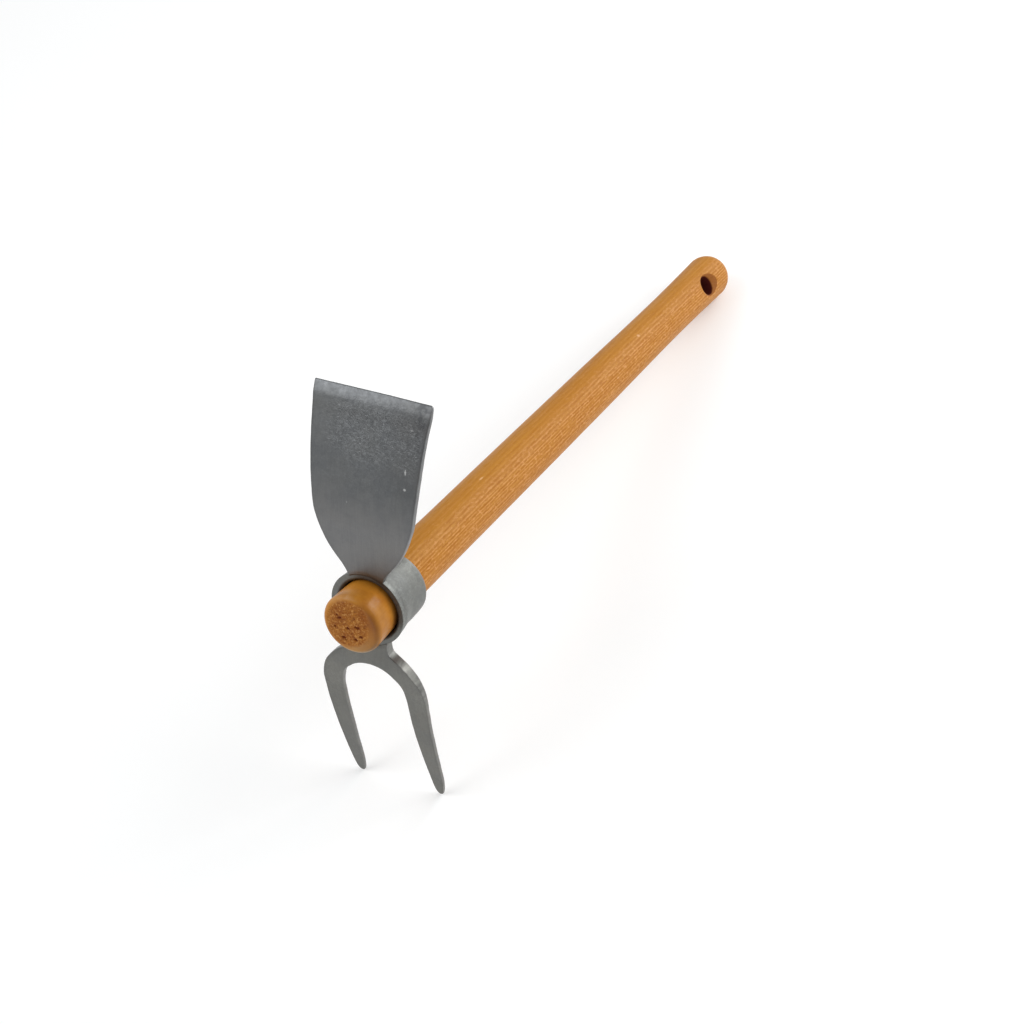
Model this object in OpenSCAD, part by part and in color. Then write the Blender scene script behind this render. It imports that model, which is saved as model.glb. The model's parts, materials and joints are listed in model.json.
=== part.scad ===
// Hand mattock: a conical eye with a broad hoe blade above it and a two-tine
// fork below it, slip-fitted on a turned wooden handle with a flared front end.
// The tool stands on its two tine tips and on the underside of the handle's
// tail, with the blade up. Millimetres, +Z up, +Y from the head to the tail.
//
// The pieces are drawn in the tool's own axes (origin on the handle axis at the
// eye's mouth, +Y along the handle, +Z toward the blade) and stand() then leans
// the whole tool back until the tail touches the floor.

/* [Handle] */
// How far the flared front end stands out in front of the eye
stub_len = 14.8; // [10:0.1:20]
// Radius of the flare at its widest, near the front end
flare_r = 14.3; // [13.8:0.1:14.5]
// Radius of the grip just behind the eye
grip_r = 12.4; // [12:0.1:12.5]
// Distance behind the eye's mouth where the flare ends
flare_end = 30; // [28:1:36]
// Radius at the waist, ahead of the tail
waist_r = 11.3; // [10.5:0.1:12]
// Distance of the waist from the eye's mouth
waist_y = 308; // [280:1:315]
// Radius of the rounded tail
tail_r = 12; // [11.5:0.1:12.4]
// Distance of the tail ball's centre from the eye's mouth
tail_y = 369; // [350:0.5:380]
// Rounding of the front end's rim
front_round = 2.8; // [1:0.1:4]

/* [Hang hole] */
// Radius of the hang hole
hang_r = 5.35; // [4:0.05:6]
// Distance of the hang hole from the eye's mouth
hang_y = 350; // [335:0.5:352]
// Roll of the hang hole about the handle axis
hang_roll = 31.8; // [0:0.1:90]
// Distance from the handle axis at which the hang hole's countersinks start
sink_at = 9.45; // [8:0.05:11]
// How much the countersinks widen per mm
sink_flare = 1.5; // [0.5:0.1:1.7]

/* [Eye collar] */
// Outer radius at the mouth
eye_front_r = 18.1; // [17:0.1:19]
// Outer radius at the rear rim
eye_rear_r = 16.1; // [15.6:0.1:17]
// Front face of the eye, ahead of the reference plane
eye_front = -0.4; // [-1:0.1:0]
// Rear rim of the eye
eye_rear = 23.6; // [22:0.1:26]
// Bore radius at the mouth, where the handle is clear of it
mouth_r = 14.5; // [14.2:0.1:16]
// Start of the fitted taper in the bore
seat_y = 12; // [8:0.5:16]
// Radial clearance of the fitted taper
seat_gap = 0.06; // [0.02:0.01:0.1]

/* [Hoe blade] */
// Height of the cutting edge above the handle axis
blade_top = 99.5; // [85:0.1:115]
// Plate thickness
blade_t = 3.4; // [2.5:0.1:4.5]
// Front face at the neck
blade_face = -0.8; // [-1.5:0.1:0]
// Height where the blade starts to curve back
blade_bend = 40; // [35:1:50]
// Height where the ground bevel starts, below the cutting edge
bevel_h = 5.4; // [4:0.1:10]
// Slope of the ground bevel
bevel_slope = 0.24; // [0.1:0.01:0.28]

/* [Fork] */
// Depth of the tine tips below the handle axis
tip_z = -108.8; // [-115:0.1:-105]
// Plate thickness at the crown
fork_t = 4.8; // [4:0.1:5.5]
// Tine thickness at mid length
mid_t = 2.7; // [2.4:0.1:3.8]
// Tine thickness at the tips
tip_t = 2; // [1.6:0.1:2.4]
// Front face of the crown
fork_face = -1.4; // [-2:0.1:-0.8]
// Height where the tines start to curve back
fork_bend = -28; // [-34:1:-24]

/* [Welds] */
// Leg of the fillet welds behind the two necks
weld_leg = 3.2; // [2:0.1:4]

/* [Hidden] */
$fn = 72;

// Smooth curve through the points P, n steps to a span
function _pt(P, i) = P[max(0, min(len(P) - 1, i))];
function _cr(a, b, c, d, t) = 0.5 * ((2 * b) + (c - a) * t
    + (2 * a - 5 * b + 4 * c - d) * t * t + (3 * b - a - 3 * c + d) * t * t * t);
function spline(P, n) = concat([for (i = [0 : len(P) - 2], k = [0 : n - 1])
    _cr(_pt(P, i - 1), _pt(P, i), _pt(P, i + 1), _pt(P, i + 2), k / n)], [P[len(P) - 1]]);
function flipx(P) = [for (i = [len(P) - 1 : -1 : 0]) [-P[i][0], P[i][1]]];
function ease(t) = let (u = max(0, min(1, t))) u * u * (3 - 2 * u);

// Handle radius along the axis: a straight flare, then a long slight waist
flare_y = -stub_len + front_round;
function flare(y) = grip_r + (flare_r - grip_r) * (flare_end - y) / (flare_end - flare_y);
grip = spline([[grip_r, flare_end], [grip_r - 0.1, 70], [12.2, 130], [12, 190],
    [11.75, 240], [waist_r + 0.12, 280], [waist_r, waist_y], [waist_r + 0.1, 333],
    [tail_r - 0.32, 352], [tail_r, tail_y]], 4);

// Bore radius at the seat and outer radius of the cone
function seat(y) = flare(y) + seat_gap;
function cone(y) = eye_front_r + (eye_rear_r - eye_front_r) * (y - eye_front) / (eye_rear - eye_front);

// Blade: front face over the height, and the outline of its right half
function blade_y(z) = blade_face + 0.0207 * pow(max(0, z - blade_bend), 1.6)
    + bevel_slope * max(0, z - (blade_top - bevel_h));
blade_side = spline([[8.4, 12], [8.6, 15.8], [11, 20.4], [14.95, 25.4], [18.45, 30.6],
    [21.2, 36.5], [23, 41.6], [24.4, 47], [25.5, 57], [26.5, 68], [27.3, 80],
    [28.1, 90], [28.8, 95.5], [28.85, blade_top - 1.2], [28.45, blade_top]], 3);

// Fork: front face over the depth, plate thickness and the two edges of a tine
function fork_y(z) = blade_face + (fork_face - blade_face) * ease((z + 17) / (fork_bend + 17))
    + 0.0455 * pow(max(0, fork_bend - z), 1.4);
function fork_thick(z) = tip_t + (fork_t - mid_t) * ease((z - fork_bend + 19) / 19)
    + (mid_t - tip_t) * ease((z - tip_z) / 34);
tine_out = spline([[9.2, -13], [9.2, -17.8], [10.2, -20.5], [13, -22.5], [17.4, -25.5],
    [21.45, -29.8], [24.45, -34.9], [26.25, -41.4], [26.3, -50], [25.9, -62], [25.5, -73],
    [25, -84], [24.35, -97], [23.45, -104], [22.45, -107.4], [21, tip_z]], 4);
tine_in = spline([[21, tip_z], [19.4, -107.2], [18.2, -101], [17.4, -86], [16.6, -68],
    [16.25, -52], [15.85, -42.5], [14.05, -36.3], [9.3, -31.5], [4.6, -29.2], [0, -28.5]], 4);

// Lean of the tool: the floor touches the tine tips and the tail ball
foot_y = fork_y(tip_z) + tip_t;
reach = norm([tail_y - foot_y, tip_z]);
lean = atan(-tip_z / (tail_y - foot_y)) - asin(tail_r / reach);
foot = tail_y * sin(lean) + tail_r;
// Middle of the footprint, along the floor
mid = (tail_y * cos(lean) + tail_r - stub_len * cos(lean)
    - (flare_r - front_round) * sin(lean)) / 2;

module stand() {
    translate([0, -mid, foot]) rotate([-lean, 0, 0]) children();
}

// Turns a shape drawn along +Z onto the handle axis
module along_y() { rotate([-90, 0, 0]) children(); }

module handle_body() {
    front = [for (a = [0 : 15 : 90])
        [flare_r - front_round + front_round * sin(a), flare_y - front_round * cos(a)]];
    tail = [for (a = [9 : 9 : 81]) [tail_r * cos(a), tail_y + tail_r * sin(a)]];
    along_y() rotate_extrude()
        polygon(concat([[0, -stub_len]], front, grip, tail, [[0, tail_y + tail_r]]));
}

// Through hole with a countersink at each mouth
module hang_cutter() {
    end = 13;
    wide = hang_r + (end - sink_at) * sink_flare;
    rotate_extrude()
        polygon([[0, -end], [wide, -end], [hang_r, -sink_at], [hang_r, sink_at], [wide, end], [0, end]]);
}

module handle() {
    color("peru") stand() difference() {
        handle_body();
        translate([0, hang_y, 0]) rotate([0, -hang_roll, 0]) rotate([0, 90, 0]) hang_cutter();
    }
}

module eye_collar() {
    color("slategray") stand() along_y() rotate_extrude()
        polygon([
            [mouth_r, eye_front], [eye_front_r - 0.5, eye_front], [cone(0.1), 0.1],
            [cone(eye_rear - 0.8), eye_rear - 0.8], [cone(eye_rear) - 0.8, eye_rear],
            [seat(eye_rear), eye_rear], [seat(seat_y), seat_y]]);
}

// Solid inside of the eye, cut from the plates so that they sit on it
module eye_core() {
    along_y() rotate_extrude()
        polygon([[0, -8], [cone(-8), -8], [cone(eye_rear), eye_rear], [0, eye_rear]]);
}

module plate(outline, side) {
    intersection() {
        translate([0, 60, 0]) rotate([90, 0, 0]) linear_extrude(height = 80) polygon(outline);
        rotate([90, 0, 90]) translate([0, 0, -40]) linear_extrude(height = 80) polygon(side);
    }
}

module hoe_blade() {
    zs = concat([12], [for (i = [0 : 8]) blade_bend + i * (blade_top - bevel_h - blade_bend) / 8],
        [blade_top]);
    back = [for (z = zs) [min(blade_y(z), blade_y(min(z, blade_top - bevel_h)) + 0.15 * max(0, z - blade_top + bevel_h))
        + blade_t * (1 - 0.1 * ease((z - 60) / 39)), z]];
    side = concat([for (z = zs) [blade_y(z), z]], [for (i = [len(zs) - 1 : -1 : 0]) back[i]]);
    color("dimgray") stand() difference() {
        plate(concat(blade_side, flipx(blade_side)), side);
        eye_core();
    }
}

module fork() {
    zs = concat([-12, -17, -20, -23, fork_bend], [for (i = [1 : 13]) fork_bend + i * (tip_z - fork_bend) / 13]);
    side = concat([for (z = zs) [fork_y(z), z]],
        [for (i = [len(zs) - 1 : -1 : 0]) [fork_y(zs[i]) + fork_thick(zs[i]), zs[i]]]);
    right = concat(tine_out, tine_in);
    color("dimgray") stand() difference() {
        plate(concat(right, flipx([for (i = [0 : len(right) - 2]) right[i]])), side);
        eye_core();
    }
}

// Fillet weld round the eye behind a plate; half is half its arc in degrees
module weld(y, half) {
    r = cone(y);
    along_y() rotate([0, 0, -90 - half]) rotate_extrude(angle = 2 * half)
        polygon(concat([[r, y], [r + weld_leg, y]],
            [for (a = [22.5 : 22.5 : 67.5]) [r + weld_leg * cos(a) * 0.86, y + weld_leg * sin(a) * 0.86]],
            [[cone(y + weld_leg), y + weld_leg]]));
}

module blade_weld() {
    color("gray") stand() weld(blade_face + blade_t, 24);
}

module fork_weld() {
    color("gray") stand() rotate([0, 180, 0]) weld(blade_face + fork_t, 22);
}

handle();
eye_collar();
hoe_blade();
fork();
blade_weld();
fork_weld();
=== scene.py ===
import json
import math

import bmesh
import bpy
import numpy as np
from mathutils import Matrix, Vector


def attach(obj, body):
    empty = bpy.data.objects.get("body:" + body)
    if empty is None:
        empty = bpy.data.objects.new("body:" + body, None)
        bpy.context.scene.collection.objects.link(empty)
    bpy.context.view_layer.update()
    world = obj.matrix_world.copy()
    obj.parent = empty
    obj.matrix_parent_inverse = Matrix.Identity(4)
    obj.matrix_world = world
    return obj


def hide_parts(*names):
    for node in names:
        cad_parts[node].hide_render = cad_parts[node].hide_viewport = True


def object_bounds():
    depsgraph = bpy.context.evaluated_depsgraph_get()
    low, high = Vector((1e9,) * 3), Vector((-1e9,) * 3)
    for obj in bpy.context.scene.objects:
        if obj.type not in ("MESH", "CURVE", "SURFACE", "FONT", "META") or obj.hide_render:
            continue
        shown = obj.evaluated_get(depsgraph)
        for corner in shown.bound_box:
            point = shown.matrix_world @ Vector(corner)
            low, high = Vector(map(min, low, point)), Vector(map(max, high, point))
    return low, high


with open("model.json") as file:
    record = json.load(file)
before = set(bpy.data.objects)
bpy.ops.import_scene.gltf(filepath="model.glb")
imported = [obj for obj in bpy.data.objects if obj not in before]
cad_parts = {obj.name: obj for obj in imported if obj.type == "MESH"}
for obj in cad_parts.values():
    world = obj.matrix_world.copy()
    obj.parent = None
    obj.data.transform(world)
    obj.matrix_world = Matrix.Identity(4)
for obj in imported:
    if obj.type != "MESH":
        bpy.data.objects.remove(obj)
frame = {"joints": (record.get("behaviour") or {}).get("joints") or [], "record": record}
cad_low, cad_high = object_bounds()
cad_box = [[float(v) for v in cad_low], [float(v) for v in cad_high]]

# ----------------------------------------------------------------------------
# The tool's own axes: origin on the handle axis at the eye's mouth, +Y along
# the handle to the tail, +Z toward the blade, in millimetres. The slide joint
# and the hang hole of the record say where they lie in the row frame.
# ----------------------------------------------------------------------------
HANG_Y, HANG_R, HANG_ROLL = 350.0, 5.35, math.radians(31.8)
SINK_AT, SINK_FLARE = 9.45, 1.5
slide = next(j for j in frame["joints"] if j["name"] == "handle_slide")
hole = next(m for m in frame["record"]["mounts"] if m["name"] == "hang_hole")
out = np.array(slide["axis"], float)
out /= np.linalg.norm(out)
LC, LS = -out[1], out[2]
ORIGIN = np.array(hole["pos_m"], float) - HANG_Y / 1000 * np.array([0, LC, -LS])


def turn(v):
    """Directions from the tool's axes to the row frame."""
    v = np.asarray(v, float)
    return np.stack([v[..., 0], v[..., 1] * LC + v[..., 2] * LS, -v[..., 1] * LS + v[..., 2] * LC], -1)


def to_row(v):
    return turn(v) / 1000 + ORIGIN


# ----------------------------------------------------------------------------
# Camera
# ----------------------------------------------------------------------------
cam_data = bpy.data.cameras.new("camera")
cam_data.sensor_width = 36.0
cam_data.lens = 77.69
cam_data.shift_x = -0.5 / 1024
cam_data.shift_y = 0.5 / 1024
cam_data.clip_start, cam_data.clip_end = 0.05, 50
cam_data.dof.use_dof = False
camera = bpy.data.objects.new("camera", cam_data)
bpy.context.scene.collection.objects.link(camera)
cam_right, cam_up, cam_back = (
    turn(v)
    for v in (
        [0.88631164, 0.46267242, -0.01964461],
        [-0.22569872, 0.46861989, 0.85408166],
        [0.40436589, -0.75254876, 0.51976783],
    )
)
cam_at = to_row([432.529, -670.975, 531.393])
m = Matrix.Identity(4)
for i in range(3):
    m[i][0], m[i][1], m[i][2], m[i][3] = cam_right[i], cam_up[i], cam_back[i], cam_at[i]
camera.matrix_world = m
bpy.context.scene.camera = camera


# ----------------------------------------------------------------------------
# Small maths
# ----------------------------------------------------------------------------
def ease(t):
    t = np.clip(t, 0, 1)
    return t * t * (3 - 2 * t)


def spline(P, n):
    P = np.array(P, float)
    made = []
    for i in range(len(P) - 1):
        a, b, c, d = P[max(0, i - 1)], P[i], P[i + 1], P[min(len(P) - 1, i + 2)]
        for k in range(n):
            t = k / n
            made.append(0.5 * (2 * b + (c - a) * t + (2 * a - 5 * b + 4 * c - d) * t * t + (3 * b - a - 3 * c + d) * t ** 3))
    made.append(P[-1])
    return np.array(made)


def soft_max0(t, k):
    """max(0, t) with a soft corner about k wide."""
    return 0.5 * (t + np.sqrt(t * t + k * k)) - 0.5 * k * np.exp(-np.abs(t) / (3 * k))


def lattice(ix, iy, iz, seed):
    n = (ix * 73856093) ^ (iy * 19349663) ^ (iz * 83492791) ^ (seed * 668265263)
    n &= 0xFFFFFFFF
    n = ((n ^ (n >> 15)) * 2246822519) & 0xFFFFFFFF
    n = ((n ^ (n >> 13)) * 3266489917) & 0xFFFFFFFF
    n ^= n >> 16
    return (n & 0xFFFFFF) / 8388607.5 - 1


def noise3(P, seed=0):
    """Smooth value noise from -1 to 1 on the unit lattice."""
    P = np.asarray(P, float)
    i = np.floor(P).astype(np.int64)
    f = P - i
    u = f * f * f * (f * (f * 6 - 15) + 10)
    total = 0
    for a in (0, 1):
        for b in (0, 1):
            for c in (0, 1):
                w = (u[..., 0] if a else 1 - u[..., 0]) * (u[..., 1] if b else 1 - u[..., 1]) * (u[..., 2] if c else 1 - u[..., 2])
                total = total + w * lattice(i[..., 0] + a, i[..., 1] + b, i[..., 2] + c, seed)
    return total


def fractal(P, octaves, seed=0, gain=0.5):
    P = np.asarray(P, float)
    total, amp, norm = 0, 1.0, 0
    for k in range(octaves):
        total = total + amp * noise3(P * 2.03 ** k + 17.3 * k, seed + k)
        norm += amp
        amp *= gain
    return total / norm


# ----------------------------------------------------------------------------
# Meshes
# ----------------------------------------------------------------------------
def build(name, verts, faces, attributes, material, body, node):
    """A closed mesh from points in the tool's axes, in millimetres. Points that coincide become one."""
    verts = np.asarray(verts, float)
    key = np.round(verts * 2000).astype(np.int64)
    _, first, back = np.unique(key, axis=0, return_index=True, return_inverse=True)
    back = back.reshape(-1)
    order = np.argsort(first)
    rank = np.empty_like(order)
    rank[order] = np.arange(len(order))
    keep = first[order]
    index = rank[back]
    clean = []
    for f in faces:
        g = [int(index[i]) for i in f]
        h = [g[i] for i in range(len(g)) if g[i] != g[i - 1]]
        if len(set(h)) >= 3:
            clean.append(h)
    mesh = bpy.data.meshes.new(name)
    mesh.from_pydata(to_row(verts[keep]).tolist(), [], clean)
    rim = mesh.attributes.new("rim", "FLOAT_VECTOR", "POINT")
    rim.data.foreach_set("vector", verts[keep].astype(np.float32).ravel())
    for k, v in attributes.items():
        a = mesh.attributes.new(k, "FLOAT", "POINT")
        a.data.foreach_set("value", np.asarray(v, float)[keep].astype(np.float32))
    bm = bmesh.new()
    bm.from_mesh(mesh)
    bmesh.ops.recalc_face_normals(bm, faces=bm.faces)
    loose = [v for v in bm.verts if not v.link_faces]
    bmesh.ops.delete(bm, geom=loose, context="VERTS")
    open_edges = sum(1 for e in bm.edges if len(e.link_faces) != 2)
    if bm.calc_volume(signed=True) < 0:
        bmesh.ops.reverse_faces(bm, faces=bm.faces)
    bm.to_mesh(mesh)
    bm.free()
    mesh.polygons.foreach_set("use_smooth", [True] * len(mesh.polygons))
    mesh.materials.append(material)
    mesh.update()
    print(f"PIECE {name}: {len(mesh.vertices)} verts, {len(mesh.polygons)} faces, {open_edges} edges not shared by two faces")
    ob = bpy.data.objects.new(name, mesh)
    bpy.context.scene.collection.objects.link(ob)
    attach(ob, body)
    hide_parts(node)
    return ob


def sweep_faces(rows, cols, start=0, wrap_cols=True, wrap_rows=False):
    faces = []
    for i in range(rows if wrap_rows else rows - 1):
        a, b = start + i * cols, start + ((i + 1) % rows) * cols
        for j in range(cols if wrap_cols else cols - 1):
            k = (j + 1) % cols
            faces.append((a + j, a + k, b + k, b + j))
    return faces


# ----------------------------------------------------------------------------
# Node helper
# ----------------------------------------------------------------------------
class Nodes:
    def __init__(self, name):
        self.mat = bpy.data.materials.new(name)
        self.mat.use_nodes = True
        self.tree = self.mat.node_tree
        self.tree.nodes.clear()
        self.column = 0

    def new(self, kind, **props):
        n = self.tree.nodes.new(kind)
        n.location = (self.column * 40, -(self.column % 9) * 160)
        self.column += 1
        for k, v in props.items():
            setattr(n, k, v)
        return n

    def put(self, socket, v):
        if isinstance(v, bpy.types.NodeSocket):
            self.tree.links.new(v, socket)
        elif v is not None:
            if isinstance(v, (tuple, list)) and socket.type == "RGBA" and len(v) == 3:
                v = (*v, 1.0)
            socket.default_value = v

    def math(self, op, a, b=None, c=None, clamp=False):
        n = self.new("ShaderNodeMath", operation=op, use_clamp=clamp)
        for s, v in zip(n.inputs, (a, b, c)):
            self.put(s, v)
        return n.outputs[0]

    def vmath(self, op, a, b=None):
        n = self.new("ShaderNodeVectorMath", operation=op)
        self.put(n.inputs[0], a)
        if b is not None:
            self.put(n.inputs[1], b)
        return n.outputs["Value"] if op in ("DOT_PRODUCT", "LENGTH", "DISTANCE") else n.outputs[0]

    def vec(self, name):
        return self.new("ShaderNodeAttribute", attribute_name=name).outputs["Vector"]

    def fac(self, name):
        return self.new("ShaderNodeAttribute", attribute_name=name).outputs["Fac"]

    def split(self, v):
        n = self.new("ShaderNodeSeparateXYZ")
        self.put(n.inputs[0], v)
        return n.outputs[0], n.outputs[1], n.outputs[2]

    def join(self, x, y, z):
        n = self.new("ShaderNodeCombineXYZ")
        for s, v in zip(n.inputs, (x, y, z)):
            self.put(s, v)
        return n.outputs[0]

    def noise(self, vec, scale=1.0, detail=2.0, rough=0.5, warp=0.0, dims="3D", w=None):
        n = self.new("ShaderNodeTexNoise", noise_dimensions=dims)
        if vec is not None:
            self.put(n.inputs["Vector"], vec)
        if w is not None:
            self.put(n.inputs["W"], w)
        n.inputs["Scale"].default_value = scale
        n.inputs["Detail"].default_value = detail
        n.inputs["Roughness"].default_value = rough
        n.inputs["Distortion"].default_value = warp
        return n.outputs[0]

    def cells(self, vec, scale=1.0, feature="F1", rand=1.0, out_name="Distance"):
        n = self.new("ShaderNodeTexVoronoi", feature=feature)
        self.put(n.inputs["Vector"], vec)
        n.inputs["Scale"].default_value = scale
        n.inputs["Randomness"].default_value = rand
        return n.outputs[out_name]

    def ramp(self, fac, stops, interp="LINEAR"):
        n = self.new("ShaderNodeValToRGB")
        n.color_ramp.interpolation = interp
        e = n.color_ramp.elements
        while len(e) < len(stops):
            e.new(0.5)
        for k, (p, col) in zip(e, stops):
            k.position = p
            k.color = (*col, 1.0) if not isinstance(col, (int, float)) else (col, col, col, 1.0)
        self.put(n.inputs[0], fac)
        return n.outputs[0]

    def mix(self, fac, a, b, blend="MIX", clamp=True):
        n = self.new("ShaderNodeMix", data_type="RGBA", blend_type=blend, clamp_factor=clamp)
        self.put(n.inputs[0], fac)
        self.put(n.inputs[6], a)
        self.put(n.inputs[7], b)
        return n.outputs[2]

    def blend(self, fac, a, b):
        n = self.new("ShaderNodeMix", data_type="FLOAT")
        self.put(n.inputs[0], fac)
        self.put(n.inputs[2], a)
        self.put(n.inputs[3], b)
        return n.outputs[0]

    def remap(self, v, a, b, c=0.0, d=1.0, smooth=True):
        n = self.new("ShaderNodeMapRange", interpolation_type="SMOOTHSTEP" if smooth else "LINEAR")
        self.put(n.inputs[0], v)
        for k, x in zip((1, 2, 3, 4), (a, b, c, d)):
            n.inputs[k].default_value = x
        return n.outputs[0]

    def bump(self, height, distance, strength=1.0, normal=None):
        n = self.new("ShaderNodeBump")
        n.inputs["Strength"].default_value = strength
        n.inputs["Distance"].default_value = distance
        self.put(n.inputs["Height"], height)
        if normal is not None:
            self.put(n.inputs["Normal"], normal)
        return n.outputs[0]

    def shader(self, **sockets):
        n = self.new("ShaderNodeBsdfPrincipled")
        for k, v in sockets.items():
            self.put(n.inputs[k.replace("_", " ")], v)
        o = self.new("ShaderNodeOutputMaterial")
        self.tree.links.new(n.outputs[0], o.inputs[0])
        return self.mat


# ----------------------------------------------------------------------------
# Materials
# ----------------------------------------------------------------------------
def wood_material():
    n = Nodes("oiled_ash")
    p = n.vec("rim")
    x, y, z = n.split(p)
    face = math.radians(122)
    g = n.math("ADD", n.math("MULTIPLY", x, math.cos(face)), n.math("MULTIPLY", z, math.sin(face)))
    h = n.math("ADD", n.math("MULTIPLY", x, -math.sin(face)), n.math("MULTIPLY", z, math.cos(face)))

    def stretched(across, along):
        return n.join(n.math("MULTIPLY", g, across), n.math("MULTIPLY", y, along), n.math("MULTIPLY", h, across))

    # growth layers: shells round a pith well outside the handle, nearly parallel to its length
    wander = n.noise(stretched(0.03, 0.005), 1.0, 1.5)
    ripple = n.noise(stretched(0.20, 0.012), 1.0, 2.0)
    gg = n.math("POWER", n.math("ADD", g, 70.0), 2.0)
    rho = n.math("SQRT", n.math("ADD", gg, n.math("MULTIPLY", h, h)))
    rho = n.math("ADD", rho, n.math("MULTIPLY", n.math("SUBTRACT", wander, 0.5), 2.0))
    rho = n.math("ADD", rho, n.math("MULTIPLY", n.math("SUBTRACT", ripple, 0.5), 0.32))
    uneven = n.noise(None, 0.21, 2.0, dims="1D", w=rho)
    rho = n.math("ADD", rho, n.math("MULTIPLY", uneven, 1.3))
    wave = n.math("SINE", n.math("MULTIPLY", rho, 2 * math.pi / 1.45))
    late = n.remap(wave, 0.1, -0.9)
    early = n.remap(wave, 0.15, 0.95)
    # open vessels and fibre: long fine dashes
    vessel = n.noise(stretched(1.15, 0.10), 1.0, 1.0, 0.5)
    streak = n.noise(stretched(0.42, 0.012), 1.0, 2.0, 0.5)
    fibre = n.noise(stretched(3.2, 0.20), 1.0, 2.0, 0.6)
    broken = n.noise(stretched(0.60, 0.10), 1.0, 2.0, 0.6)
    fleck = n.noise(stretched(1.0, 0.40), 1.0, 1.5, 0.55)
    dash = n.math("MULTIPLY", n.remap(vessel, 0.50, 0.62), n.math("ADD", n.math("MULTIPLY", late, 0.6), 0.4))
    pale = n.math("MULTIPLY", early, n.remap(broken, 0.36, 0.60))
    pale = n.math("ADD", pale, n.math("MULTIPLY", n.remap(fibre, 0.53, 0.68), 0.45), clamp=True)
    # slow colour drift
    drift = n.noise(n.join(n.math("MULTIPLY", x, 0.06), n.math("MULTIPLY", y, 0.013), n.math("MULTIPLY", z, 0.06)), 1.0, 2.0)
    toward = n.remap(g, 1.5, 10.0)  # the face cut along the layers has plainer figure, and is painted more golden on that side as painted shade, without the sheen of the other side
    col = n.mix(n.remap(drift, 0.32, 0.68), (0.440, 0.178, 0.0200), (0.478, 0.206, 0.0340))
    col = n.mix(n.math("MULTIPLY", toward, 0.60), col, (0.462, 0.190, 0.0130))
    col = n.mix(n.math("MULTIPLY", n.remap(streak, 0.38, 0.62), 0.42), col, (0.420, 0.160, 0.0170))
    oiled = n.remap(y, 16.0, -2.0)
    calm = n.math("SUBTRACT", 1.0, n.math("MULTIPLY", toward, 0.74))
    calm = n.math("MULTIPLY", calm, n.math("SUBTRACT", 1.0, n.math("MULTIPLY", oiled, 0.86)))
    col = n.mix(n.math("MULTIPLY", n.math("MULTIPLY", late, calm), 0.54), col, (0.370, 0.128, 0.0120))
    col = n.mix(n.math("MULTIPLY", n.math("MULTIPLY", pale, calm), 0.56), col, (0.615, 0.290, 0.0950))
    col = n.mix(n.math("MULTIPLY", n.math("MULTIPLY", dash, calm), 0.52), col, (0.345, 0.112, 0.0110))
    col = n.mix(n.math("MULTIPLY", n.math("MULTIPLY", n.remap(fleck, 0.54, 0.70), calm), 0.50), col, (0.635, 0.310, 0.1050))
    col = n.mix(n.math("MULTIPLY", n.math("MULTIPLY", n.remap(fleck, 0.44, 0.30), calm), 0.50), col, (0.345, 0.112, 0.0110))
    col = n.mix(n.math("MULTIPLY", oiled, 0.45), col, (0.470, 0.168, 0.0140))
    patch = n.noise(p, 0.13, 2.0, 0.55)
    col = n.mix(n.math("MULTIPLY", n.math("MULTIPLY", n.remap(patch, 0.48, 0.68), oiled), 0.55), col, (0.560, 0.232, 0.0270))
    col = n.mix(n.math("MULTIPLY", n.math("MULTIPLY", n.remap(patch, 0.50, 0.30), oiled), 0.45), col, (0.330, 0.105, 0.0090))
    # painted highlights, a painted floor reflection on the rim, painted shoulder shade, painted light and shade from
    # tone, and painted shade by the eye's mouth
    col = n.mix(n.math("MULTIPLY", n.fac("wear_and_painted_highlight"), n.math("ADD", n.math("MULTIPLY", n.remap(fibre, 0.40, 0.62), 0.4), 0.6)), col, (0.690, 0.430, 0.2300))
    col = n.mix(n.math("MULTIPLY", n.fac("painted_floor_reflection"), 0.90), col, (0.430, 0.320, 0.1750))
    col = n.mix(n.math("MULTIPLY", n.fac("painted_shoulder_shade"), 0.95), col, (0.235, 0.068, 0.0065))
    col = n.mix(1.0, col, n.fac("tone"), "MULTIPLY")
    col = n.mix(n.math("MULTIPLY", n.fac("painted_shade_at_eye"), 0.80), col, (0.060, 0.0150, 0.0060))
    # cut ends: darker, speckled, with open pores
    end = n.fac("endgrain")
    pit = n.fac("pit")
    layer = n.remap(n.math("SINE", n.math("MULTIPLY", rho, 2 * math.pi / 1.9)), -0.4, 0.9)
    speck = n.noise(p, 1.05, 2.5, 0.65)
    grit = n.noise(p, 2.6, 2.0, 0.6)
    mott = n.noise(p, 0.22, 2.0, 0.5)
    end_col = n.mix(n.remap(mott, 0.36, 0.64), (0.268, 0.078, 0.0070), (0.350, 0.124, 0.0150))
    end_col = n.mix(n.math("MULTIPLY", layer, 0.22), end_col, (0.200, 0.058, 0.0060))
    end_col = n.mix(n.math("MULTIPLY", n.remap(speck, 0.53, 0.66), 0.62), end_col, (0.560, 0.275, 0.0800))
    end_col = n.mix(n.math("MULTIPLY", n.remap(speck, 0.47, 0.33), 0.70), end_col, (0.150, 0.038, 0.0050))
    end_col = n.mix(n.math("MULTIPLY", n.remap(grit, 0.57, 0.72), 0.40), end_col, (0.560, 0.300, 0.1100))
    end_col = n.mix(n.math("MULTIPLY", pit, 0.97), end_col, (0.120, 0.0200, 0.0035))
    col = n.mix(end, col, end_col)
    # the drilled wall is darker, and deep inside it is painted darker still, as painted shade
    bore = n.fac("bore")
    col = n.mix(n.math("MULTIPLY", n.remap(bore, 0.03, 0.28), n.math("ADD", n.math("MULTIPLY", n.remap(fibre, 0.35, 0.65), 0.12), 0.85)), col, (0.285, 0.096, 0.0210))
    col = n.mix(n.remap(bore, 0.33, 0.62), col, (0.100, 0.0150, 0.0120))
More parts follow.
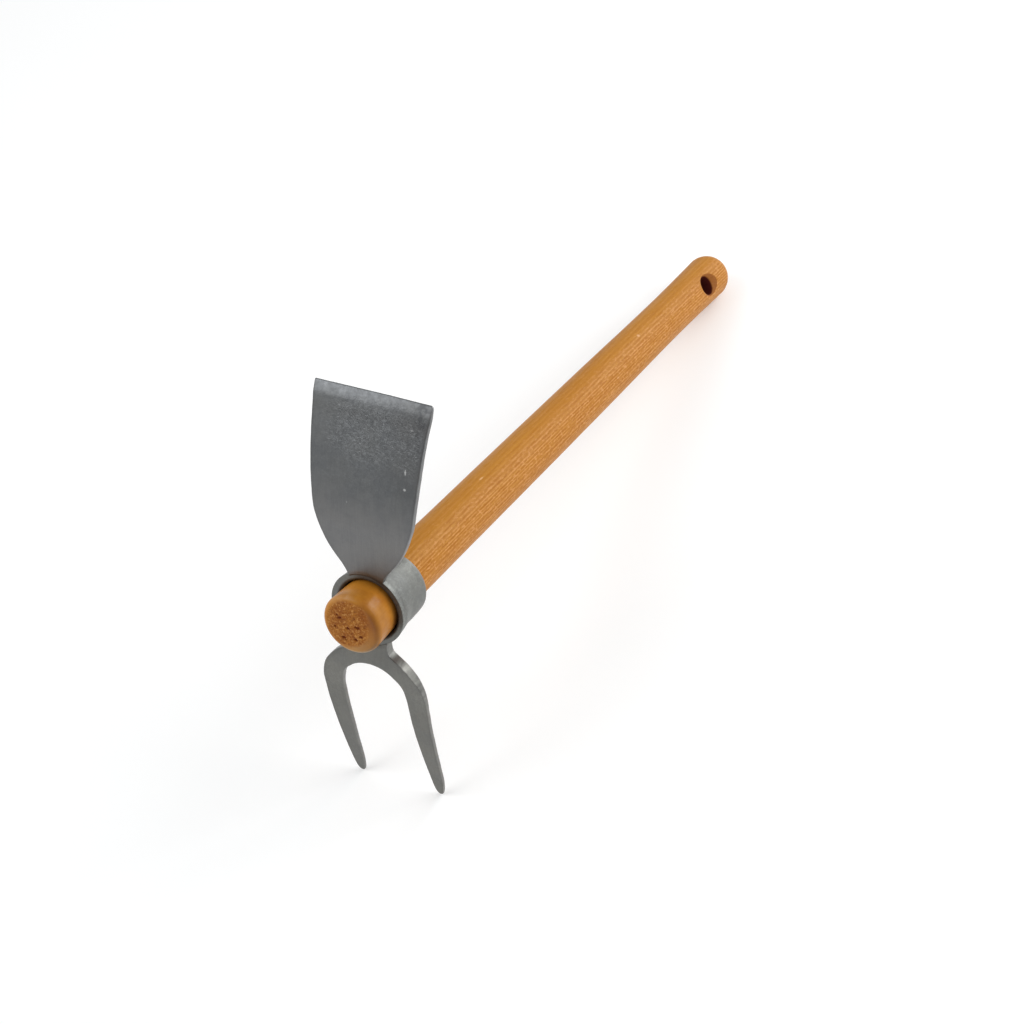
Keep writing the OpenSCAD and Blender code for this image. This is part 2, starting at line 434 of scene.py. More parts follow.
    # small dents that show paler wood
    for at, size, length, strength in (((1.4, 101.6, 12.1), 0.45, 1.7, 0.55), ((4.56, 268.8, 10.88), 0.95, 1.2, 0.60), ((10.6, 231.0, 5.2), 0.35, 1.2, 0.35)):
        dx, dy, dz = n.split(n.vmath("SUBTRACT", p, at))
        d = n.vmath("LENGTH", n.join(n.math("MULTIPLY", dx, 1 / size), n.math("MULTIPLY", dy, 1 / length), n.math("MULTIPLY", dz, 1 / size)))
        d = n.math("ADD", d, n.math("MULTIPLY", n.math("SUBTRACT", grit, 0.5), 1.2))
        col = n.mix(n.remap(d, 1.3, 0.5, 0.0, strength), col, (0.80, 0.50, 0.26))
    rough = n.math("ADD", n.math("MULTIPLY", fibre, 0.16), 0.44)
    rough = n.math("ADD", rough, n.math("MULTIPLY", dash, 0.10))
    rough = n.blend(end, rough, 0.60)
    height = n.math("SUBTRACT", n.math("MULTIPLY", fibre, 0.6), n.math("MULTIPLY", dash, 0.9))
    height = n.math("ADD", height, n.math("MULTIPLY", late, 0.25))
    height = n.blend(end, height, n.math("MULTIPLY", speck, 2.2))
    front = n.remap(y, 6.0, -3.0)
    height = n.math("MULTIPLY", height, n.math("SUBTRACT", 1.0, n.math("MULTIPLY", n.math("MULTIPLY", front, n.math("SUBTRACT", 1.0, end)), 0.92)))
    lumps = n.noise(p, 0.42, 2.0, 0.6)
    height = n.math("ADD", height, n.math("MULTIPLY", n.math("MULTIPLY", n.math("MULTIPLY", lumps, front), n.math("SUBTRACT", 1.0, end)), 1.6))
    normal = n.bump(height, 0.00009, 1.0)
    # the front end is handled and oiled the most
    coat = n.math("ADD", n.math("MULTIPLY", n.math("MULTIPLY", front, n.math("SUBTRACT", 1.0, n.math("MULTIPLY", end, 0.85))), 0.22), 0.05)
    rough = n.blend(n.math("MAXIMUM", pit, n.remap(bore, 0.2, 0.6)), rough, 0.95)
    return n.shader(Base_Color=col, Roughness=rough, Normal=normal, Specular_IOR_Level=0.17, Specular_Tint=(1.0, 0.80, 0.55, 1.0), IOR=1.46, Coat_Weight=coat, Coat_Roughness=0.20)


def steel_material(name, tone, gloss, pits, streaks, edge_gain, nicks=(), bevel_from=None, weld=False, metal=0.88, warm=0.0, tint=None):
    """Satin grey steel. tone is its reflectance, pits and streaks how deep its relief is in millimetres."""
    n = Nodes(name)
    p = n.vec("rim")
    x, y, z = n.split(p)
    edge = n.fac("edge")
    relief = n.fac("relief")
    shade = n.fac("shade")
    big = n.noise(p, 0.075, 3.0, 0.55)
    mid = n.noise(p, 0.30, 3.0, 0.6)
    small = n.noise(p, 0.70, 2.5, 0.62, 0.8)
    winding = n.noise(n.join(x, n.math("MULTIPLY", y, 0.5), n.math("MULTIPLY", z, 1.25)), 0.40, 1.5, 0.5, 1.1)
    winding = n.math("ABSOLUTE", n.math("SUBTRACT", winding, 0.5))
    worm = n.math("MULTIPLY", n.remap(winding, 0.060, 0.012), n.remap(relief, 0.25, 0.75))
    tiny = n.noise(p, 3.2, 2.0, 0.6)
    along = n.join(n.math("MULTIPLY", x, 1.3), n.math("MULTIPLY", y, 0.4), n.math("MULTIPLY", z, 0.065))
    scratch = n.noise(along, 1.0, 3.0, 0.65)
    plain = n.math("SUBTRACT", 1.0, relief)

    base_warm = warm

    def grey(k, warm=0.0):
        warm = warm + base_warm
        return (tone * k * (1 + warm), tone * k * (1 + 0.4 * warm), tone * k * (1 - warm))

    col = n.mix(n.remap(big, 0.32, 0.68), grey(0.94, -0.012), grey(1.06, 0.012))
    col = n.mix(n.math("MULTIPLY", n.remap(mid, 0.38, 0.66), 0.4), col, grey(1.10, 0.0))
    col = n.mix(n.math("MULTIPLY", n.math("MULTIPLY", n.remap(small, 0.50, 0.36), relief), 0.55), col, grey(0.58, -0.02))
    col = n.mix(n.math("MULTIPLY", n.math("MULTIPLY", n.remap(small, 0.54, 0.70), relief), 0.60), col, grey(1.75, -0.02))
    col = n.mix(n.math("MULTIPLY", worm, 0.42), col, grey(1.65, -0.01))
    col = n.mix(n.math("MULTIPLY", n.math("MULTIPLY", n.remap(scratch, 0.52, 0.70), plain), 0.30 * streaks / 0.02), col, grey(1.22, 0.015))
    col = n.mix(n.math("MULTIPLY", n.math("MULTIPLY", n.remap(scratch, 0.47, 0.30), plain), 0.30 * streaks / 0.02), col, grey(0.80, -0.01))
    col = n.mix(n.math("MULTIPLY", n.remap(tiny, 0.50, 0.70), 0.18), col, grey(1.35, 0.0))
    col = n.mix(n.math("MULTIPLY", n.remap(tiny, 0.48, 0.32), 0.18), col, grey(0.70, 0.0))
    if bevel_from is not None:
        # the ground bevel is lighter: partly ground steel, partly painted highlight
        ground = n.fac("ground")
        col = n.mix(n.math("MULTIPLY", ground, n.math("ADD", n.math("MULTIPLY", n.remap(small, 0.36, 0.60), 0.55), 0.46)), col, grey(1.56, -0.022))
        col = n.mix(n.math("MULTIPLY", n.math("MULTIPLY", ground, n.remap(winding, 0.050, 0.010)), 0.36), col, grey(0.85, -0.022))
        col = n.mix(n.fac("blot"), col, grey(0.60, -0.03))
        col = n.mix(n.remap(z, 42.0, 66.0), col, (0.972, 1.0, 1.012), "MULTIPLY")
    # shade carries painted shade and painted highlights; where it is low the colour also turns brown, a painted
    # reflection of the wooden handle
    col = n.mix(1.0, col, shade, "MULTIPLY")
    col = n.mix(n.math("MULTIPLY", n.remap(shade, 0.88, 0.42), 0.60), col, (tone * 0.34, tone * 0.235, tone * 0.20))
    if tint is not None:
        col = n.mix(1.0, col, tint, "MULTIPLY")
    # lighter edges: partly worn bare steel, partly painted highlight
    wear_and_painted_highlight = n.math("MULTIPLY", n.math("MULTIPLY", edge, n.math("ADD", n.math("MULTIPLY", n.remap(mid, 0.36, 0.64), 0.5), 0.5)), edge_gain)
    col = n.mix(wear_and_painted_highlight, col, grey(1.7, -0.005))
    if weld:
        col = n.mix(n.math("MULTIPLY", n.remap(mid, 0.4, 0.7), 0.35), col, grey(0.62, 0.03))
    for at, size, length, strength in nicks:
        dx, dy, dz = n.split(n.vmath("SUBTRACT", p, at))
        d = n.vmath("LENGTH", n.join(n.math("MULTIPLY", dx, 1 / size), n.math("MULTIPLY", dy, 0.5), n.math("MULTIPLY", dz, 1 / length)))
        d = n.math("ADD", d, n.math("MULTIPLY", n.math("SUBTRACT", tiny, 0.5), 1.6))
        col = n.mix(n.remap(d, 1.25, 0.55, 0.0, strength), col, (0.55, 0.55, 0.54))
    rough = n.math("ADD", gloss, n.math("MULTIPLY", n.math("SUBTRACT", mid, 0.5), 0.16))
    rough = n.math("ADD", rough, n.math("MULTIPLY", n.math("SUBTRACT", tiny, 0.5), 0.10))
    rough = n.math("SUBTRACT", rough, n.math("MULTIPLY", edge, 0.06))
    h1 = n.math("MULTIPLY", n.math("ADD", n.math("MULTIPLY", small, relief), n.math("MULTIPLY", worm, 0.30)), pits)
    h2 = n.math("MULTIPLY", n.math("MULTIPLY", scratch, plain), streaks)
    h3 = n.math("MULTIPLY", tiny, 0.012)
    height = n.math("ADD", n.math("ADD", h1, h2), h3)
    normal = n.bump(height, 0.001, 1.0)
    return n.shader(Base_Color=col, Metallic=metal, Roughness=rough, Normal=normal, IOR=1.6, Specular_IOR_Level=0.5)


mat_wood = wood_material()
mat_eye = steel_material("satin_steel_eye", 0.185, 0.52, 0.05, 0.008, 0.30, metal=0.80, tint=(1.0, 1.022, 0.962))
mat_blade = steel_material(
    "satin_steel_blade", 0.176, 0.43, 0.27, 0.022, 0.35, bevel_from=92.4,
    nicks=(((19.81, 4.2, 71.0), 0.42, 1.15, 0.8), ((20.06, 2.5, 63.7), 0.70, 0.55, 0.8), ((20.71, 9.5, 88.5), 0.60, 0.45, 0.35), ((-7.5, 0.3, 52.0), 0.35, 0.5, 0.2)),
)
mat_fork = steel_material("satin_steel_fork", 0.167, 0.45, 0.07, 0.030, 0.45, warm=0.03, tint=(0.975, 0.985, 0.95))
mat_weld = steel_material("satin_steel_weld", 0.180, 0.50, 0.05, 0.008, 0.30, weld=True)

# ----------------------------------------------------------------------------
# Handle: a turned grip with a flared front end, a cut face with open pores, a
# drilled hang hole and a ball tail
# ----------------------------------------------------------------------------
STUB, FLARE_R, GRIP_R, FLARE_END, FRONT_ROUND = 14.8, 14.3, 12.4, 30.0, 2.8
TAIL_R, TAIL_Y = 12.0, 369.0
FLARE_Y = FRONT_ROUND - STUB
grip = spline([[12.4, 30], [12.3, 70], [12.2, 130], [12, 190], [11.75, 240], [11.42, 280], [11.3, 308], [11.4, 333], [11.68, 352], [12, 369]], 12)


def flare(y):
    return GRIP_R + (FLARE_R - GRIP_R) * (FLARE_END - y) / (FLARE_END - FLARE_Y)


def handle_r(y):
    y = np.asarray(y, float)
    r = np.where(y < FLARE_END, flare(y), np.interp(y, grip[:, 1], grip[:, 0]))
    u = np.clip((y - 24) / 12, 0, 1)
    a, b, c = flare(24.0), GRIP_R, np.interp(36.0, grip[:, 1], grip[:, 0])
    soft = (1 - u) ** 2 * a + 2 * u * (1 - u) * b + u * u * c
    return np.where((y > 24) & (y < 36), soft, r)


def make_handle():
    seg = 160
    step = 2 * math.pi / seg
    half, cells_a, reach = 20, 14, 11.2
    verts, faces = [], []
    theta = HANG_ROLL + step * np.arange(seg)

    def ring(r, y):
        r, y = np.broadcast_to(r, seg), np.broadcast_to(y, seg)
        return np.stack([r * np.cos(theta), y, r * np.sin(theta)], 1)

    rows = []
    # cut front face, slightly crowned
    n_face = 58
    face_r = FLARE_R - FRONT_ROUND
    for k in range(1, n_face + 1):
        r = face_r * k / n_face
        rows.append(ring(r, -STUB + 0.35 * (r / face_r) ** 2.5))
    # rounded rim, from the crowned face to the flare
    for a in np.linspace(0, 90, 13)[1:]:
        a = math.radians(a)
        rows.append(ring(FLARE_R - FRONT_ROUND + FRONT_ROUND * math.sin(a), FLARE_Y - FRONT_ROUND * math.cos(a) + 0.35 * (1 - math.sin(a)) ** 1.5))
    ys = np.concatenate([
        np.linspace(FLARE_Y, 38, 38)[1:],
        np.linspace(38, HANG_Y - reach, 150)[1:],
        np.linspace(HANG_Y - reach, HANG_Y + reach, cells_a + 1)[1:],
        np.linspace(HANG_Y + reach, TAIL_Y, 9)[1:],
    ])
    for y in ys:
        rows.append(ring(float(handle_r(y)), y))
    n_ball = 18
    for k in range(1, n_ball):
        a = math.pi / 2 * k / n_ball
        rows.append(ring(TAIL_R * math.cos(a), TAIL_Y + (TAIL_R - 0.04) * math.sin(a)))
    grid = np.concatenate(rows)
    verts.append(grid)
    n_rows = len(rows)
    row_y = np.array([r[:, 1].mean() for r in rows])
    first = int(np.argmin(np.abs(row_y - (HANG_Y - reach))))
    last = first + cells_a
    # columns of the two drilled patches, counted from the hole's axis
    patch_cols = set()
    for j in range(-half, half):
        patch_cols.add(j % seg)
        patch_cols.add((j + seg // 2) % seg)
    for i in range(n_rows - 1):
        for j in range(seg):
            if first <= i < last and j in patch_cols:
                continue
            k = (j + 1) % seg
            faces.append((i * seg + j, i * seg + k, (i + 1) * seg + k, (i + 1) * seg + j))
    count = len(grid)
    verts.append(np.array([[0, -STUB, 0], [0, TAIL_Y + TAIL_R - 0.04, 0]]))
    for j in range(seg):
        k = (j + 1) % seg
        faces.append((count, k, j))
        faces.append((count + 1, (n_rows - 1) * seg + j, (n_rows - 1) * seg + k))
    count += 2

    # loop round the square patch: (distance along the handle, angle from the hole)
    loop = [(-reach, k) for k in range(-half, half)]
    loop += [(-reach + 2 * reach * j / cells_a, half) for j in range(cells_a)]
    loop += [(reach, k) for k in range(half, -half, -1)]
    loop += [(reach - 2 * reach * j / cells_a, -half) for j in range(cells_a)]
    size = len(loop)
    a_s = np.array([q[0] for q in loop])
    phi = np.array([q[1] for q in loop]) * step
    b_s = handle_r(HANG_Y + a_s) * np.sin(phi)
    t = np.arctan2(b_s, a_s)
    partner = [loop.index((q[0], -q[1])) if (q[0], -q[1]) in loop else int(np.argmin((a_s - q[0]) ** 2 + (phi + q[1] * step) ** 2)) for q in loop]
    d = np.array([math.cos(HANG_ROLL), 0, math.sin(HANG_ROLL)])
    e = np.array([-math.sin(HANG_ROLL), 0, math.cos(HANG_ROLL)])
    # the countersink's edge on the handle's surface, found along each direction
    rim_h = np.full(size, 11.0)
    for _ in range(60):
        rim_r = HANG_R + SINK_FLARE * (rim_h - SINK_AT)
        rim_h = 0.5 * rim_h + 0.5 * np.sqrt(np.maximum(handle_r(HANG_Y + rim_r * np.cos(t)) ** 2 - (rim_r * np.sin(t)) ** 2, 1))
    bores = [np.zeros(len(v)) for v in verts]
    ends = {}
    for side in (1, -1):
        rings = []
        full = np.hypot(a_s, b_s)
        radii = [full + (rim_r + 0.5 - full) * w for w in np.linspace(0, 1, 8)]
        radii += [rim_r + q for q in (0.3, 0.15, 0.0, -0.15, -0.3)]
        radii += [rim_r - 0.3 + (HANG_R + 0.3 - rim_r + 0.3) * w for w in np.linspace(0, 1, 8)[1:]]
        for rad in radii:
            a, b = rad * np.cos(t), rad * np.sin(t)
            surf = np.sqrt(handle_r(HANG_Y + a) ** 2 - b ** 2)
            sink = SINK_AT + (rad - HANG_R) / SINK_FLARE
            low_h = 0.5 * (surf + sink) - 0.5 * np.sqrt((surf - sink) ** 2 + 0.03)
            hgt = surf - (surf - low_h) * ease((rim_r + 1.4 - rad) / 0.8)
            rings.append((a, b, hgt, 0.30 * ease((rim_r + 0.15 - rad) / 0.35)))
        for w in (0.3, 0.6, 1.0):  # softened edge into the bore
            rad = HANG_R + 0.3 * (1 - w) ** 2
            hgt = SINK_AT + 0.2 * (1 - w) ** 2 - 0.45 * w * w
            rings.append((rad * np.cos(t), rad * np.sin(t), np.full(size, hgt), np.full(size, 0.30 + 0.25 * w)))
        pts = np.concatenate([
            hgt[:, None] * side * d + b[:, None] * side * e + np.stack([0 * a, HANG_Y + a, 0 * a], 1) for a, b, hgt, deep in rings
        ])
        verts.append(pts)
        bores.append(np.concatenate([deep for a, b, hgt, deep in rings]))
        faces += sweep_faces(len(rings), size, count)
        ends[side] = (count + (len(rings) - 1) * size, rings[-1])
        count += len(pts)
    # the bore between the two mouths
    s0, (a0, b0, h0, _) = ends[1]
    s1, (a1, b1, h1, _) = ends[-1]
    h1 = -h1[partner]
    previous = [s0 + i for i in range(size)]
    for w in np.linspace(0, 1, 17)[1:-1]:
        hgt = (1 - w) * h0 + w * h1
        pts = hgt[:, None] * d + b0[:, None] * e + np.stack([0 * a0, HANG_Y + a0, 0 * a0], 1)
        verts.append(pts)
        bores.append(np.clip(0.55 + 0.45 * (SINK_AT - np.abs(hgt)) / 2.5, 0, 1))
        now = [count + i for i in range(size)]
        for i in range(size):
            k = (i + 1) % size
            faces.append((previous[i], previous[k], now[k], now[i]))
        previous = now
        count += size
    now = [s1 + partner[i] for i in range(size)]
    for i in range(size):
        k = (i + 1) % size
        faces.append((previous[i], previous[k], now[k], now[i]))

    V = np.concatenate(verts)
    x, y, z = V.T
    r = np.hypot(x, z)
    soft = 0.55 * fractal(np.stack([x * 0.28, y * 0.28, z * 0.28], 1), 2, 44)
    spread = np.interp(np.degrees(np.arctan2(z, x)), [-180, -134, -92, -61, -17, 18, 42, 63, 106, 136, 180], [13.2, 13.6, 12.3, 10.7, 9.4, 10.2, 12.2, 13.4, 13.6, 13.6, 13.2])
    end = ease((-y - (STUB - 3.4)) / 3.0 + 0.4 * soft) * ease((spread - r) / 2.4 + 0.4 * soft)
    end = np.where(y > 0, 0.0, end)
    # open pores and torn fibre on the cut face, along the growth layers
    rng = np.random.default_rng(41)
    pit = np.zeros(len(V))
    depth = np.zeros(len(V))
    on_face = (y < -STUB + 1.2) & (r < 12)
    wx = x + 0.35 * fractal(np.stack([x * 1.3, 0 * x, z * 1.3], 1), 2, 5)
    wz = z + 0.35 * fractal(np.stack([x * 1.3, 0 * x + 9, z * 1.3], 1), 2, 6)
    spots = [
        (-5.5, 2.7, 0.92, 0.50), (-8.0, -2.3, 0.66, 0.42), (-1.5, -1.7, 0.88, 0.50), (3.6, 0.0, 0.86, 0.50), (2.5, 0.2, 0.55, 0.40),
        (-4.0, -6.9, 0.92, 0.50), (2.1, -6.5, 0.96, 0.50), (4.9, -4.4, 0.82, 0.46), (-2.9, -7.9, 0.50, 0.36), (-6.6, 4.0, 0.45, 0.34), (7.2, 1.2, 0.34, 0.30),
    ]
    for _ in range(90):
        rr, aa = 10.4 * math.sqrt(rng.random()), rng.random() * 2 * math.pi
        spots.append((rr * math.cos(aa), rr * math.sin(aa), 0.13 + 0.12 * rng.random(), 0.10 + 0.08 * rng.random()))
    for sx, sz, rad, deep in spots:
        slope = 0.12
        u = (wx - sx) * math.cos(slope) + (wz - sz) * math.sin(slope)
        v = -(wx - sx) * math.sin(slope) + (wz - sz) * math.cos(slope)
        q = np.sqrt((u / (rad * 1.3)) ** 2 + (v / (rad * 0.85)) ** 2) + 0.25 * fractal(np.stack([x * 1.7, 0 * x + sx, z * 1.7], 1), 2, 12)
        f = ease((1.15 - q) / 0.65) * on_face
        strong = min(1.0, rad / 0.42)
        pit = np.maximum(pit, f * strong)
        depth = np.maximum(depth, f * deep)
    rim_fade = ease((11.6 - r) / 1.5)
    fibre = 0.075 * fractal(np.stack([x * 1.9, 0 * x, z * 1.9], 1), 3, 3) * on_face * rim_fade
    V[:, 1] += (depth + fibre + 0.05) * np.where(on_face, rim_fade, 0)
    # hand-sanded unevenness, well clear of the eye and the hole
    free = ease((y - 40) / 20) * (1 - ease((y - 322) / 10))
    dr = 0.045 * fractal(np.stack([x * 0.05, y * 0.03, z * 0.05], 1), 2, 8) * free - 0.045 * free
    V[:, 0] += x / np.maximum(r, 1e-6) * dr
    V[:, 2] += z / np.maximum(r, 1e-6) * dr
    # two shallow dents
    for at, size_y, size_t, deep in (((1.4, 101.6, 12.1), 1.8, 0.7, 0.10), ((4.56, 268.8, 10.88), 1.4, 1.0, 0.14)):
        q = ((x - at[0]) ** 2 + (z - at[2]) ** 2) / size_t ** 2 + ((y - at[1]) / size_y) ** 2
        w = deep * np.exp(-q)
        V[:, 0] -= x / np.maximum(r, 1e-6) * w
        V[:, 2] -= z / np.maximum(r, 1e-6) * w
    bore = np.concatenate(bores)
    th = np.degrees(np.arctan2(z, x))
    turned = lambda at, wide: np.exp(-(((th - at + 180) % 360 - 180) / wide) ** 2)
    blotch = ease(0.5 + 1.1 * fractal(np.stack([x * 0.22, y * 0.22, z * 0.22], 1), 2, 61))
    # a pale line along the lower front rim: painted reflection of the floor
    painted_floor_reflection = turned(-80, 44) * np.exp(-((y + 13.7) / 0.75) ** 2)
    # painted highlights on the front end's rim and shoulder, most on the upper -X side, given the pale look of rubbed
    # wood
    wear_and_painted_highlight = 0.20 * turned(46, 14) * np.exp(-((y + 10.8) / 1.6) ** 2) * (0.35 + 0.65 * blotch)
    wear_and_painted_highlight += 0.75 * turned(112, 20) * np.exp(-((y + 13.5) / 1.2) ** 2) * (0.35 + 0.65 * blotch)
    wear_and_painted_highlight += 0.34 * turned(112, 20) * np.exp(-((y + 9.6) / 3.0) ** 2) * (0.35 + 0.65 * blotch)
    # painted shade on the wood next to the eye's mouth, strongest toward +X
    painted_shade_at_eye = ease((y + 3.6) / 3.2) * (1 - ease((y - 1) / 12)) * (0.20 + 0.75 * turned(-12, 42))
    # way over the front end: across the cut face, round its edge, then back along the side
    round_at = np.degrees(np.arctan2(np.maximum(r - FLARE_R + FRONT_ROUND, 0), np.maximum(FLARE_Y - y, 1e-6)))
    way = np.where(y > FLARE_Y, y + 27.9, np.where(r > FLARE_R - FRONT_ROUND, 11.5 + 4.398 * round_at / 90, r))
    # painted shade on the rounded shoulder between the cut face and the side, toward +X
    painted_shoulder_shade = 0.9 * turned(25, 42) * ease((way - 7.2) / 2.0) * (1 - ease((way - 12.0) / 3.2)) * (0.8 + 0.2 * blotch)
    # tone is painted light and shade on the front end: darker round the shoulder, on top, on the +X side and below,
    # lighter on the upper -X side and a little at upper +X; it fades out behind the eye's mouth
    tone = 1 - 0.20 * turned(25, 50) * ease((way - 10) / 2.5) * (1 - ease((way - 19) / 5))
    tone -= 0.24 * turned(-45, 52) * ease((way - 8.2) / 1.6) * (1 - ease((way - 13) / 2.5))
    tone -= 0.14 * turned(85, 20) * np.exp(-((way - 14) / 1.4) ** 2)
    tone -= 0.30 * turned(-42, 24) * ease((way - 12) / 2) * (1 - ease((way - 24) / 4))
    tone += 0.42 * turned(118, 36) * ease((way - 17) / 5) + 0.15 * turned(48, 22) * ease((way - 22) / 3)
    tone = 1 + (tone - 1) * (1 - ease((y - 1) / 14))
    return build("handle_turned", V, faces, {"endgrain": end, "pit": pit, "bore": bore, "wear_and_painted_highlight": np.clip(wear_and_painted_highlight, 0, 1), "painted_shade_at_eye": painted_shade_at_eye, "painted_floor_reflection": painted_floor_reflection, "painted_shoulder_shade": painted_shoulder_shade, "tone": tone}, mat_wood, "handle", "handle")


# ----------------------------------------------------------------------------
# Eye collar: a forged cone with rounded rims and a tapered bore
# ----------------------------------------------------------------------------
EYE_FRONT, EYE_REAR, EYE_R0, EYE_R1 = -0.4, 23.6, 18.1, 16.1
MOUTH_R, SEAT_Y, SEAT_GAP = 14.5, 12.0, 0.06


def cone(y):
    return EYE_R0 + (EYE_R1 - EYE_R0) * (y - EYE_FRONT) / (EYE_REAR - EYE_FRONT)


def arc(cx, cy, rad, a0, a1, n):
    a = np.radians(np.linspace(a0, a1, n))
    return [(cx + rad * math.cos(t), cy + rad * math.sin(t)) for t in a]


def make_collar():
    seg = 224
    seat = lambda y: float(flare(y)) + SEAT_GAP
    prof = []  # (radius, y), from the mouth's inner lip outward
    lip = 1.9  # the mouth rolls in toward the handle
    yc = EYE_FRONT + lip
    bore_r = MOUTH_R + (seat(SEAT_Y) - MOUTH_R) * (yc - EYE_FRONT) / (SEAT_Y - EYE_FRONT)
    prof += arc(bore_r + lip, yc, lip, 180, 270, 11)
    prof += [(q, EYE_FRONT) for q in np.linspace(bore_r + lip + 0.2, 17.6, 5)]
    prof += arc(17.79, EYE_FRONT + 0.28, 0.28, -90, -4, 6)
    n_wall = 34
    for y in np.linspace(0.9, 22.4, n_wall):
        prof.append((cone(y), y))
    prof += arc(cone(22.6) - 1.0, 22.6, 1.0, 2, 90, 7)
    prof += [(q, EYE_REAR) for q in np.linspace(cone(22.6) - 1.3, seat(EYE_REAR) + 0.75, 3)]
    prof += arc(seat(EYE_REAR) + 0.4, EYE_REAR - 0.4, 0.4, 90, 180, 5)
    prof += [(seat(y), y) for y in np.linspace(22.6, SEAT_Y, 8)]
    for w in np.linspace(0, 1, 9)[1:-1]:
        prof.append((seat(SEAT_Y) + (bore_r - seat(SEAT_Y)) * w, SEAT_Y + (yc - SEAT_Y) * w))
    prof = np.array(prof)
    th = 2 * math.pi * np.arange(seg) / seg
    rows = [np.stack([r * np.cos(th), 0 * th + y, r * np.sin(th)], 1) for r, y in prof]
    V = np.concatenate(rows)
    x, y, z = V.T
    r = np.hypot(x, z)
    outer = ease((r - (cone(y) - 1.2)) / 0.9)
    # forged unevenness on the outside only
    bumpy = 0.11 * fractal(np.stack([x * 0.11, y * 0.13, z * 0.11], 1), 2, 21) + 0.035 * fractal(np.stack([x * 0.5, y * 0.5, z * 0.5], 1), 2, 23)
    th_v = np.arctan2(z, x)
    lean = 0.31 * np.cos(th_v - math.radians(150)) * (1 - 0.85 * ease((y - 12) / 8))
    waist = 0.44 * np.exp(-((y - 9.3) / 3.4) ** 2) * ease((np.cos(th_v + math.radians(39)) - 0.35) / 0.5)
    dr = ((bumpy - 0.10) * ease((y - 0.4) / 3) + lean - waist) * outer
    front = (np.abs(y - EYE_FRONT) < 0.02) & (r > MOUTH_R + 1.6)
    V[:, 0] += x / r * dr
    V[:, 2] += z / r * dr
    V[:, 1] += np.where(front, 0.03 + 0.03 * fractal(np.stack([x * 0.4, 0 * x, z * 0.4], 1), 2, 25), 0)
    # lighter rims at the mouth's front corner and the rear edge: partly wear, partly painted highlight
    rim_edge = 0.15 * np.exp(-(np.hypot(r - 17.95, y - 0.1) / 0.4) ** 2) + np.exp(-(np.hypot(r - cone(23.2), y - 23.2) / 0.9) ** 2)
    # the mouth's face is painted dark, as painted shade and a painted reflection of the wooden handle, darkest toward
    # the inner lip, least on the -X side and below; the cone behind the blade's root gets a painted highlight, and the
    # cone's top is painted a little darker
    deg = np.degrees(th_v)
    deg = np.where(deg < -90, deg + 360, deg)
    # painted shade on the rim's right half, deepest beside the plate's foot
    painted_shade_right_half = ease((deg + 27) / 24) * (1 - ease((deg - 98) / 20))
    ring_tone = 0.88 + 0.08 * np.exp(-((deg - 140) / 30) ** 2) - 0.24 * painted_shade_right_half - 0.11 * np.exp(-((deg - 62) / 13) ** 2)
    inner = ease((18.02 - r) / 0.22) * ease((6 - y) / 5)
    throat = ease((16.0 - r) / 0.9) * (1 - 0.9 * np.exp(-((deg - 62) / 36) ** 2))
    shade = 1.0 - (1.0 - ring_tone * (1 - 0.30 * throat)) * inner
    # a painted highlight on the cone behind the blade's root
    painted_light = np.exp(-((y - 2.2) / 1.7) ** 2) * np.exp(-((deg - 49) / 12) ** 2)
    patchy = ease(0.5 + 1.2 * fractal(np.stack([x * 0.45, y * 0.45, z * 0.45], 1), 2, 65))
    bright = np.exp(-((deg - 50) / 26) ** 2) * ease((y - 2) / 4)
    shade = shade + (0.55 * painted_light * (0.6 + 0.4 * patchy) + 0.14 * bright * (patchy - 0.35) - 0.10 * bright - 0.10 * np.exp(-((deg - 80) / 25) ** 2)) * (1 - inner)
    # the rim highlight is painted strongest on the side facing +X
    rim_edge = rim_edge * (0.35 + 0.65 * ease((np.cos(th_v - math.radians(10)) - 0.1) / 0.6))
    relief = 0.35 + 0.25 * ease(0.5 + fractal(np.stack([x * 0.09, y * 0.09, z * 0.09], 1), 2, 27))
    faces = sweep_faces(len(prof), seg, 0, True, True)
    return build("eye_collar_forged", V, faces, {"edge": np.clip(rim_edge, 0, 1), "relief": relief, "shade": shade}, mat_eye, "head", "eye_collar")


# ----------------------------------------------------------------------------
# Plates: sections with rounded edges, swept
# ----------------------------------------------------------------------------
def section(n_front, arc_steps=4):
    """A rounded rectangle as (K, E, FB, OFF): across = K * (half - r) + E * r, depth = front + OFF * r, or back - OFF * r, where r is the front or the back edge's radius."""
    al = np.radians(np.linspace(0, 90, arc_steps + 1)[1:])
    K = np.linspace(-1, 1, n_front)
    rows = [(k, 0, 0, 0) for k in K]
    rows += [(1, math.sin(a), 0, 1 - math.cos(a)) for a in al]
    rows += [(1, math.sin(a), 1, 1 - math.cos(a)) for a in al[::-1]]
    rows += [(k, 0, 1, 0) for k in K[::-1]]
    rows += [(-1, -math.sin(a), 1, 1 - math.cos(a)) for a in al]
    rows += [(-1, -math.sin(a), 0, 1 - math.cos(a)) for a in al[::-1]]
    return np.array(rows, float)


def cap_faces(start, n_front, arc_steps):
    """Closes a section's loop with a strip between its front and its back."""
    nf, na = n_front, arc_steps
    front = [start + j for j in range(nf + na)]  # front face, then the right front arc
    back = [start + nf + 2 * na + nf - 1 - j for j in range(nf)] + [start + nf + 2 * na - 1 - j for j in range(na)]
    left_back = [start + 2 * nf + 2 * na + j for j in range(na)]
    left_front = [start + 2 * nf + 4 * na - 1 - j for j in range(na)]
    front = left_front[::-1] + front
    back = left_back[::-1] + back
    return [(front[i], front[i + 1], back[i + 1], back[i]) for i in range(len(front) - 1)]


LAP_R = 17.2  # how far in the plates' roots reach over the eye's wall


